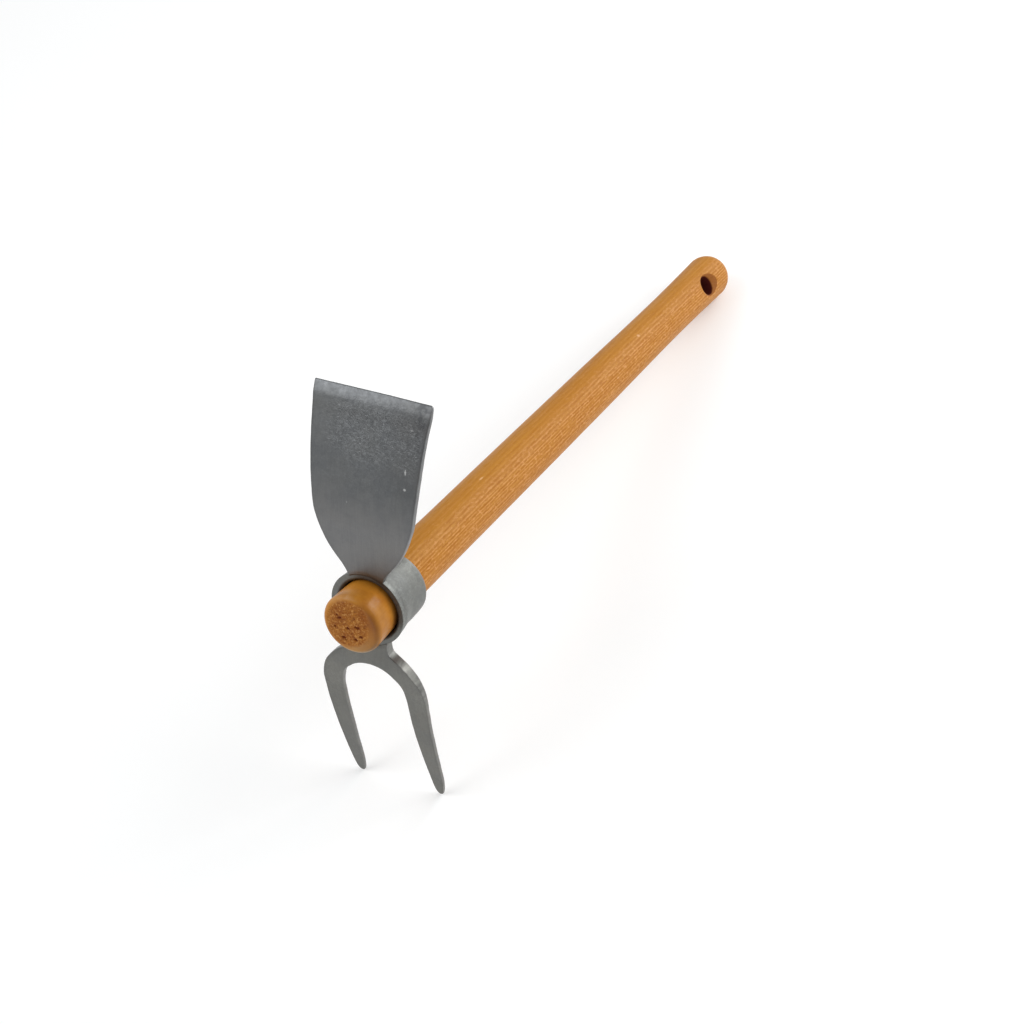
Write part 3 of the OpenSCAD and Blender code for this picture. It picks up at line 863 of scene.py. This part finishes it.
def root_drop(x, z):
    """The plates' front faces run down into the eye's front face."""
    return 0.36 * (1 - ease((np.hypot(x, z) - 17.2) / 2.6))


BLADE_TOP, BLADE_T, BLADE_FACE, BLADE_BEND, BEVEL_H = 99.5, 3.4, -0.8, 40.0, 5.4
blade_left = spline([[8.4, 12], [8.6, 15.8], [11, 20.4], [14.95, 25.4], [18.45, 30.6], [21.2, 36.5], [22.95, 41.6], [24.4, 47], [25.5, 57], [26.48, 68], [27.2, 80], [27.75, 89], [28.15, 95], [28.42, 98.2], [28.5, 99.5]], 10)
blade_right = spline([[8.4, 12], [8.6, 15.8], [11, 20.4], [14.95, 25.4], [18.45, 30.6], [21.2, 36.5], [23, 41.6], [24.45, 47], [25.55, 57], [26.45, 68], [27.3, 80], [28.1, 88.5], [28.68, 93.5], [28.8, 96.2], [28.76, 99.5]], 10)


def blade_front(z):
    """The ground bevel turns in over its lowest part, then runs straight to the cutting edge."""
    turn_h = 2.4
    over = np.maximum(0, z - (BLADE_TOP - BEVEL_H))
    u = np.minimum(over / turn_h, 1)
    return blade_plain(z) + 0.24 * BEVEL_H / (BEVEL_H - turn_h / 2) * (turn_h * (u ** 3 - 0.5 * u ** 4) + np.maximum(0, over - turn_h))


def blade_plain(z):
    return BLADE_FACE + 0.0207 * np.maximum(0, z - BLADE_BEND) ** 1.6


def blade_back(z):
    z0 = np.minimum(z, BLADE_TOP - BEVEL_H)
    over = np.maximum(0, z - (BLADE_TOP - BEVEL_H))
    return np.minimum(blade_plain(z) + 0.24 * over, blade_plain(z0) + 0.15 * over) + BLADE_T * (1 - 0.1 * ease((z - 60) / 39))


def make_blade():
    nf, na = 96, 5
    S = section(nf, na)
    K, E, FB, OFF = S.T
    top_r = 0.32
    z0, zk = 15.0, 26.0
    nominal = list(np.linspace(z0, zk, 14)) + list(np.linspace(zk, 40, 20)[1:]) + list(np.linspace(40, BLADE_TOP - top_r, 96)[1:])
    stations = [(z, 0.0) for z in nominal]
    for b in np.linspace(0, 80, 6)[1:]:
        b = math.radians(b)
        stations.append((BLADE_TOP - top_r + top_r * math.sin(b), top_r * (1 - math.cos(b))))
    V, edge, relief, ground, shade, blot = [], [], [], [], [], []
    for Z, q in stations:
        z = np.full(len(S), Z)
        for _ in range(4):
            w = np.where(E + K > 0, np.interp(z, blade_right[:, 1], blade_right[:, 0]), np.interp(z, blade_left[:, 1], blade_left[:, 0]))
            # the corner at +X is worn rounder
            wear_and_painted_highlight = np.where(E + K > 0, 1.25 * np.clip((z - 97.3) / 2.2, 0, 1) ** 3.0, 0.0)
            wander = 0.05 * noise3(np.stack([z * 0.35, 0 * z, np.sign(K) * 5], 1), 31) * ease((z - 30) / 10)
            half = w - wear_and_painted_highlight - q - 0.03 + np.minimum(wander, 0.03)
            thick = blade_back(z) - blade_front(z)
            rf = np.maximum(np.minimum(0.42, 0.18 * thick) - 0.6 * q, 0.10)
            rb = np.maximum(np.minimum(1.25, 0.40 * thick) - 0.6 * q, 0.10)
            re = np.where(FB == 0, rf, rb)
            x = K * (half - re) + E * re
            if Z < zk:
                zb = np.sqrt(np.maximum(LAP_R ** 2 - x ** 2, 1))
                z = zk - (zk - Z) * (zk - zb) / (zk - z0)
        yf = blade_front(z) + root_drop(x, z) + q
        yb = blade_back(z) - q
        y = np.where(FB == 0, yf + OFF * re, yb - OFF * re)
        # rag along the cutting edge, worn lower toward +X
        z = z - ease((z - 96.5) / 2.6) * (0.04 + 0.34 * ease((x - 2) / 26) + 0.10 * np.abs(fractal(np.stack([x * 0.8, 0 * x, 0 * x], 1), 3, 33)))
        # forge pitting on the faces, strongest in the upper half
        up = (0.34 * ease((z - 50) / 16) + 0.66 * ease((z - 66) / 14)) * (0.45 + 0.55 * ease((94.5 - z) / 4.0)) * ease((98.6 - z) / 2.0)
        middle = ease((half - np.abs(x)) / 3.0)
        pit = up * (0.55 + 0.45 * ease(0.5 + 0.9 * fractal(np.stack([x * 0.06 + 3, 0 * x, z * 0.06], 1), 2, 35)))
        fx = fractal(np.stack([x * 0.55, y * 0.2, z * 0.55], 1), 3, 37, 0.65)
        fs = fractal(np.stack([x * 0.16, y * 0.1, z * 0.13], 1), 2, 39)
        amp = np.where(FB == 0, 1.0, -1.0) * (OFF < 0.01)
        y = y + amp * middle * (0.13 * pit * fx + 0.07 * fs * ease((z - 30) / 10) * ease((96 - z) / 4))
        V.append(np.stack([x, y, z], 1))
        # rounded edges are lighter, partly wear and partly painted highlight, most on the +X edges
        near = np.where((E == 0), 0.0, np.where(FB == 0, 1.0, 0.6)) * np.where(K > 0, 1.0, 0.35)
        edge.append(near * ease((z - 18) / 3))
        right = ease((x - 4) / 18) * ease((z - 44) / 20)
        left_mid = ease((-x - 12) / 12)
        relief.append(np.clip(pit * middle * (1 - 0.72 * left_mid) * 0.92 + 0.08, 0, 1))
        uneven = 0.9 * fractal(np.stack([x * 0.10, 0 * x, 0 * x + 4], 1), 2, 45)
        # lighter ground bevel on the front: partly ground steel, partly painted highlight
        ground.append(np.clip((z - (BLADE_TOP - BEVEL_H) + 0.3 + uneven) / 5.4, 0, 1) * np.where((FB == 0), 1.0, 0.3) * (1 - 0.30 * ease((x + 20) / 40)))
        front_edge = np.exp(-np.maximum(half - np.abs(x) - 0.4, 0) / 0.40) * (E == 0) * (FB == 0)
        round_at = np.degrees(np.arctan2(z, x))
        # painted shade on the plate's root above the handle's end, which the low shade also turns brown as a painted
        # reflection of the wood
        root = 1 - 0.36 * ease((21.8 - np.hypot(x, z)) / 5.2) * ease((118 - round_at) / 45)
        # a lighter band across the root where the eye's outer edge lies
        light_band_at_root = 0.22 * np.exp(-((np.hypot(x, z) - 18.9) / 0.9) ** 2) * np.exp(-((round_at - 92) / 24) ** 2)
        stain_and_dark_band = ease(0.40 + 1.7 * fractal(np.stack([x * 0.62, y * 0.3, z * 0.62], 1), 2, 78)) * (FB == 0)
        blot.append(0.75 * stain_and_dark_band * ease((x - 20) / 4) * ease((z - 88) / 4) + 0.30 * stain_and_dark_band * ease((z - 92) / 3) * (1 - ease((x - 20) / 4)))
        # a darker band about z = 90 in the shade
        stain_and_dark_band = 0.06 * np.exp(-((z - 90) / 3) ** 2)
        shade.append((1.00 - 0.13 * ease((z - 34) / 34) + light_band_at_root - stain_and_dark_band) * (1 - 0.09 * right) * (1 + 0.05 * left_mid * np.exp(-((z - 68) / 14) ** 2)) * (1 - 0.16 * front_edge) * root)
    rows = len(V)
    V = np.concatenate(V)
    faces = sweep_faces(rows, len(S)) + cap_faces(0, nf, na) + cap_faces((rows - 1) * len(S), nf, na)
    return build("hoe_blade_forged", V, faces, {"edge": np.concatenate(edge), "relief": np.concatenate(relief), "ground": np.concatenate(ground), "blot": np.concatenate(blot), "shade": np.concatenate(shade)}, mat_blade, "head", "hoe_blade")


TIP_Z, FORK_T, MID_T, TIP_T, FORK_FACE, FORK_BEND = -108.8, 4.8, 2.7, 2.0, -1.4, -28.0
tine_out = spline([[9.2, -13], [9.2, -17.8], [10.2, -20.5], [13, -22.5], [17.4, -25.5], [21.45, -29.8], [24.45, -34.9], [26.25, -41.4], [26.3, -50], [25.9, -62], [25.5, -73], [25, -84], [24.35, -97], [23.45, -104], [22.45, -107.4], [21, TIP_Z]], 14)
tine_in = spline([[21, TIP_Z], [19.4, -107.2], [18.2, -101], [17.4, -86], [16.6, -68], [16.25, -52], [15.85, -42.5], [14.05, -36.3], [9.3, -31.5], [4.6, -29.2], [0, -28.5]], 14)[::-1]


def fork_front(z):
    return BLADE_FACE + (FORK_FACE - BLADE_FACE) * ease((z + 17) / (FORK_BEND + 17)) + 0.0455 * np.maximum(0, FORK_BEND - z) ** 1.4


def fork_thick(z):
    return TIP_T + (FORK_T - MID_T) * ease((z - FORK_BEND + 19) / 19) + (MID_T - TIP_T) * ease((z - TIP_Z) / 34)


def make_fork():
    nf, na = 22, 6
    S = section(nf, na)
    K, E, FB, OFF = S.T
    # outer line: along the eye, round the notch, down the tine
    start = math.atan2(9.2, 14.53)
    lap = np.array([[LAP_R * math.sin(t), -LAP_R * math.cos(t)] for t in np.linspace(0, start, 24)])
    outer = np.concatenate([lap, tine_out[tine_out[:, 1] < -15.4]])
    keys = [
        ((0, -17.2), (0, -28.5)), ((4.6, -16.57), (2.0, -28.65)), ((9.1, -14.6), (4.2, -29.05)), ((9.2, -17.8), (5.6, -29.6)), ((10.2, -20.5), (7.0, -30.2)),
        ((13, -22.5), (8.8, -31.2)), ((17.4, -25.5), (11.0, -33.0)), ((21.45, -29.8), (13.4, -35.5)), ((24.45, -34.9), (15.0, -39.2)), ((26.25, -41.4), (16.0, -44.2)),
        ((26.3, -50), (16.2, -51.2)), ((25.9, -62), (16.45, -63)), ((25.5, -73), (16.8, -74)), ((25, -84), (17.3, -85)), ((24.35, -97), (18.0, -98.2)), ((23.45, -104), (18.75, -104.6)), ((22.45, -107.4), (19.7, -107.7)), ((21, TIP_Z), (21, TIP_Z)),
    ]

    def lengths(P):
        return np.concatenate([[0], np.cumsum(np.linalg.norm(np.diff(P, axis=0), axis=1))])

    lo, li = lengths(outer), lengths(tine_in)
    ko = [lo[np.argmin(np.hypot(*(outer - a).T))] for a, b in keys]
    ki = [li[np.argmin(np.hypot(*(tine_in - b).T))] for a, b in keys]
    ko, ki = np.maximum.accumulate(ko), np.maximum.accumulate(ki)
    ko[-1], ki[-1] = lo[-1], li[-1]
    mids = []  # station parameter, evenly spaced along the tine
    for k in range(len(keys) - 1):
        n = max(3, int(round(max(ko[k + 1] - ko[k], ki[k + 1] - ki[k]) / 0.85)))
        mids += [k + i / n for i in range(n)]
    mids = np.array(mids + [len(keys) - 1 - 0.02])
    # smooth the pairing so that sections turn evenly
    fine = np.arange(len(keys))
    so, si = np.interp(mids, fine, ko), np.interp(mids, fine, ki)
    for _ in range(6):
        so[1:-1] = 0.25 * so[:-2] + 0.5 * so[1:-1] + 0.25 * so[2:]
        si[1:-1] = 0.25 * si[:-2] + 0.5 * si[1:-1] + 0.25 * si[2:]
    O = np.stack([np.interp(so, lo, outer[:, 0]), np.interp(so, lo, outer[:, 1])], 1)
    I = np.stack([np.interp(si, li, tine_in[:, 0]), np.interp(si, li, tine_in[:, 1])], 1)

    def station(o, i, sign):
        w = o - i
        width = float(np.hypot(*w))
        u = w / max(width, 1e-6)
        c = (o + i) / 2
        hide = ease((LAP_R + 1.6 - np.hypot(*o)) / 1.2) if abs(o[0]) < 9.15 else 0.0
        zc = c[1]
        T = float(fork_thick(zc))
        squeeze = math.sqrt(max(0.0, 1 - max(0.0, 1 - width / 2.6) ** 2))
        rf = min(0.40, 0.16 * T * squeeze, 0.25 * width)
        rb = min(1.55, 0.55 * T * squeeze, 0.42 * width)
        shoulder = float(ease((-zc - 17) / 3) * (1 - ease((-zc - 33) / 5))) * (sign > 0)
        re = np.where(FB == 0, rf, rb)
        draft = np.where((FB == 0) & (K > 0), 0.9 * shoulder, 0.0)
        across = K * (width / 2 - re - draft) + E * re
        x = c[0] + u[0] * across
        z = c[1] + u[1] * across
        t = fork_thick(z) * squeeze
        shift = (fork_thick(z) - t) / 2
        lift = 0.0
        yf = fork_front(z) + shift + root_drop(x, z) + lift
        yb = fork_front(z) + fork_thick(z) - shift
        # no rounding where the plate's root lies on the eye
        r_off = np.where(K > 0.5, re * (1 - hide), re)
        y = np.where(FB == 0, yf + OFF * r_off, yb - OFF * r_off)
        face = (OFF < 0.01) & (np.abs(E) < 0.01)
        fx = fractal(np.stack([x * sign * 0.5, y * 0.3, z * 0.5], 1), 3, 51, 0.6)
        fs = fractal(np.stack([x * sign * 0.14, y * 0.1, z * 0.12], 1), 2, 53)
        inner = ease(((width / 2) - np.abs(across)) / 1.6)
        y = y + np.where(FB == 0, 1, -1) * face * inner * (0.03 * fx + 0.05 * fs)
        # hammered sides
        fe = fractal(np.stack([x * sign * 0.35, y * 0.35, z * 0.35], 1), 2, 55)
        push = np.where(np.abs(K) > 0.999, 0.09 * fe - 0.05, 0) * ease((width - 2.0) / 2.0) * (1 - hide)
        x = x + np.sign(K) * u[0] * push
        z = z + np.sign(K) * u[1] * push
        # rounded edges are lighter, partly wear and partly painted highlight, more at the front
        near = np.where(np.abs(E) > 0.01, np.where(FB == 0, 1.0, 0.6), 0.0) * np.where((K > 0), 1 - hide, 1)
        front_edge = np.exp(-np.maximum(width / 2 - np.abs(across) - 0.5, 0) / 0.5) * (np.abs(E) < 0.01) * (FB == 0) * (K > 0) * (1 - hide)
        sway = 0.2 * ease((-33 - z) / 7) * ease((z + 58) / 10) - 0.42 * ease((-96 - z) / 11)
        # the +X tine's side gets painted light: two painted highlights on its shoulder and painted shade between them
        side_on = (np.abs(K) > 0.5) * (np.abs(E) > 0.3) * (K > 0) * (1 - hide) * (sign > 0)
        # two painted highlight streaks on the shoulder with a patch of painted shade between them
        painted_light = 1 + 0.34 * np.exp(-((z + 20.6) / 0.75) ** 2) - 0.48 * np.exp(-((z + 23.1) / 1.6) ** 4) + 0.66 * np.exp(-((z + 26.3) / 0.75) ** 2) + 0.08 * ease((-z - 33) / 4)
        grain = 1 + (0.35 * fractal(np.stack([x * 0.9, y * 0.9, z * 0.9], 1), 2, 67)) * (z > -40)
        near = near * np.where(side_on > 0, 1 - ease((-20.6 - z) / 0.9) * (1 - ease((-34 - z) / 5)), 1)
        front_edge = front_edge * (1 + 0.9 * shoulder)
        far = 1 - 0.10 * ease((-40 - z) / 14)
        return np.stack([x * sign + sway, y, z], 1), near, (1 - 0.16 * front_edge) * far * np.where(side_on > 0, 1 + (painted_light * grain - 1) * side_on, 1)

    rows, edges, tones = [], [], []
    for k in range(len(mids) - 1, -1, -1):  # from the +X tip to the middle
        a, b, t = station(O[k], I[k], 1)
        rows.append(a), edges.append(b), tones.append(t)
    for k in range(1, len(mids)):  # and on to the -X tip
        a, b, t = station(O[k], I[k], -1)
        rows.append(a), edges.append(b), tones.append(t)
    V = np.concatenate(rows)
    faces = sweep_faces(len(rows), len(S)) + cap_faces(0, nf, na) + cap_faces((len(rows) - 1) * len(S), nf, na)
    x, y, z = V.T
    relief = 0.14 + 0.30 * ease(0.5 + fractal(np.stack([x * 0.07, y * 0.07, z * 0.07], 1), 2, 57))
    return build("fork_forged", V, faces, {"edge": np.concatenate(edges), "relief": relief, "shade": np.concatenate(tones)}, mat_fork, "head", "fork")


# ----------------------------------------------------------------------------
# Fillet welds behind the two roots
# ----------------------------------------------------------------------------
def make_weld(name, node, y0, half, sign, seed):
    leg = 3.2
    n_arc, n_sec = 150, 14
    rows, edge = [], []
    for k in range(n_arc + 1):
        f = k / n_arc
        a = math.radians((2 * f - 1) * half)
        tail = math.sin(math.pi * min(1, max(0, min(f, 1 - f) / 0.075)) / 2) if f not in (0, 1) else 0.04
        size = leg * (0.30 + 0.70 * tail) * 0.97
        ripple = 1 + 0.045 * math.sin(2 * math.pi * f * (2 * math.radians(half) * 18) / 1.5) + 0.03 * float(noise3(np.array([[f * 23, 0.5, seed]]), seed)[0])
        pts = []
        yb = y0 - 0.35
        # from inside the wall, out along the plate, over the bead and back into the wall
        pts.append((cone(y0) - 0.6, yb))
        pts.append((cone(y0) + size * 0.96, yb))
        for t in np.linspace(0, 90, n_sec):
            t = math.radians(t)
            lean = ripple + 0.02 * math.sin(t * 2)
            pts.append((cone(y0 + size * math.sin(t)) + size * math.cos(t) * 0.88 * lean - 0.05 * math.sin(t), y0 + size * math.sin(t) * 0.97 * (0.5 + 0.5 * ripple)))
        pts.append((cone(y0 + size) - 0.6, y0 + size * 0.9))
        for r, y in pts:
            rows.append((r * math.sin(a) * 1.0, y, sign * r * math.cos(a)))
            edge.append(0.0)
    V = np.array(rows)
    cols = n_sec + 3
    faces = sweep_faces(n_arc + 1, cols)
    faces.append(tuple(range(cols)))
    faces.append(tuple(range(n_arc * cols, (n_arc + 1) * cols)))
    relief = np.full(len(V), 0.4)
    return build(name, V, faces, {"edge": np.zeros(len(V)), "relief": relief, "shade": np.ones(len(V))}, mat_weld, "head", node)


handle = make_handle()
collar = make_collar()
blade = make_blade()
fork = make_fork()
weld_a = make_weld("blade_weld_bead", "blade_weld", BLADE_FACE + BLADE_T, 24, 1, 71)
weld_b = make_weld("fork_weld_bead", "fork_weld", BLADE_FACE + FORK_T, 22, -1, 73)

# ----------------------------------------------------------------------------
# Floor, light, world
# ----------------------------------------------------------------------------
floor_mesh = bpy.data.meshes.new("floor")
bm = bmesh.new()
bmesh.ops.create_grid(bm, x_segments=8, y_segments=8, size=7.0)
bm.to_mesh(floor_mesh)
bm.free()
floor = bpy.data.objects.new("floor", floor_mesh)
bpy.context.scene.collection.objects.link(floor)
floor.location = (0, 0, cad_box[0][2] - 0.0002)
n = Nodes("pale_floor")
coord = n.new("ShaderNodeTexCoord").outputs["Object"]
floor_col = n.mix(n.noise(coord, 3.0, 2.0), (0.88, 0.88, 0.875), (0.91, 0.91, 0.905))
n.shader(Base_Color=floor_col, Roughness=0.7, Specular_IOR_Level=0.15, Emission_Color=(1, 1, 1, 1), Emission_Strength=0.145)
floor_mesh.materials.append(n.mat)

world = bpy.data.worlds.new("world")
bpy.context.scene.world = world
world.use_nodes = True
bg = world.node_tree.nodes["Background"]
bg.inputs[0].default_value = (0.97, 0.985, 1.0, 1.0)
bg.inputs[1].default_value = 0.58


def lamp(name, direction, distance, size, power, colour=(1, 1, 1)):
    """A square soft box; direction is from the tool, in the tool's own axes."""
    data = bpy.data.lights.new(name, "AREA")
    data.shape = "SQUARE"
    data.size = size
    data.energy = power
    data.color = colour
    ob = bpy.data.objects.new(name, data)
    bpy.context.scene.collection.objects.link(ob)
    d = turn(np.array(direction, float) / np.linalg.norm(direction))
    aim = to_row([0, 40, 20])
    ob.location = Vector(aim) + Vector(d) * distance
    ob.rotation_mode = "QUATERNION"
    ob.rotation_quaternion = Vector(d).to_track_quat("Z", "Y")
    return ob


lamp("key", (0.75, 0.22, 0.63), 1.6, 1.1, 10.5)
lamp("rim_light", (0.30, 0.80, 0.52), 1.6, 0.9, 8.5)
lamp("fill", (-0.50, -0.66, 0.56), 1.9, 1.2, 10.5)

scene = bpy.context.scene
scene.view_settings.view_transform = "Standard"
scene.view_settings.look = "None"
scene.view_settings.exposure = 0.0
scene.view_settings.gamma = 1.0

bpy.context.view_layer.update()
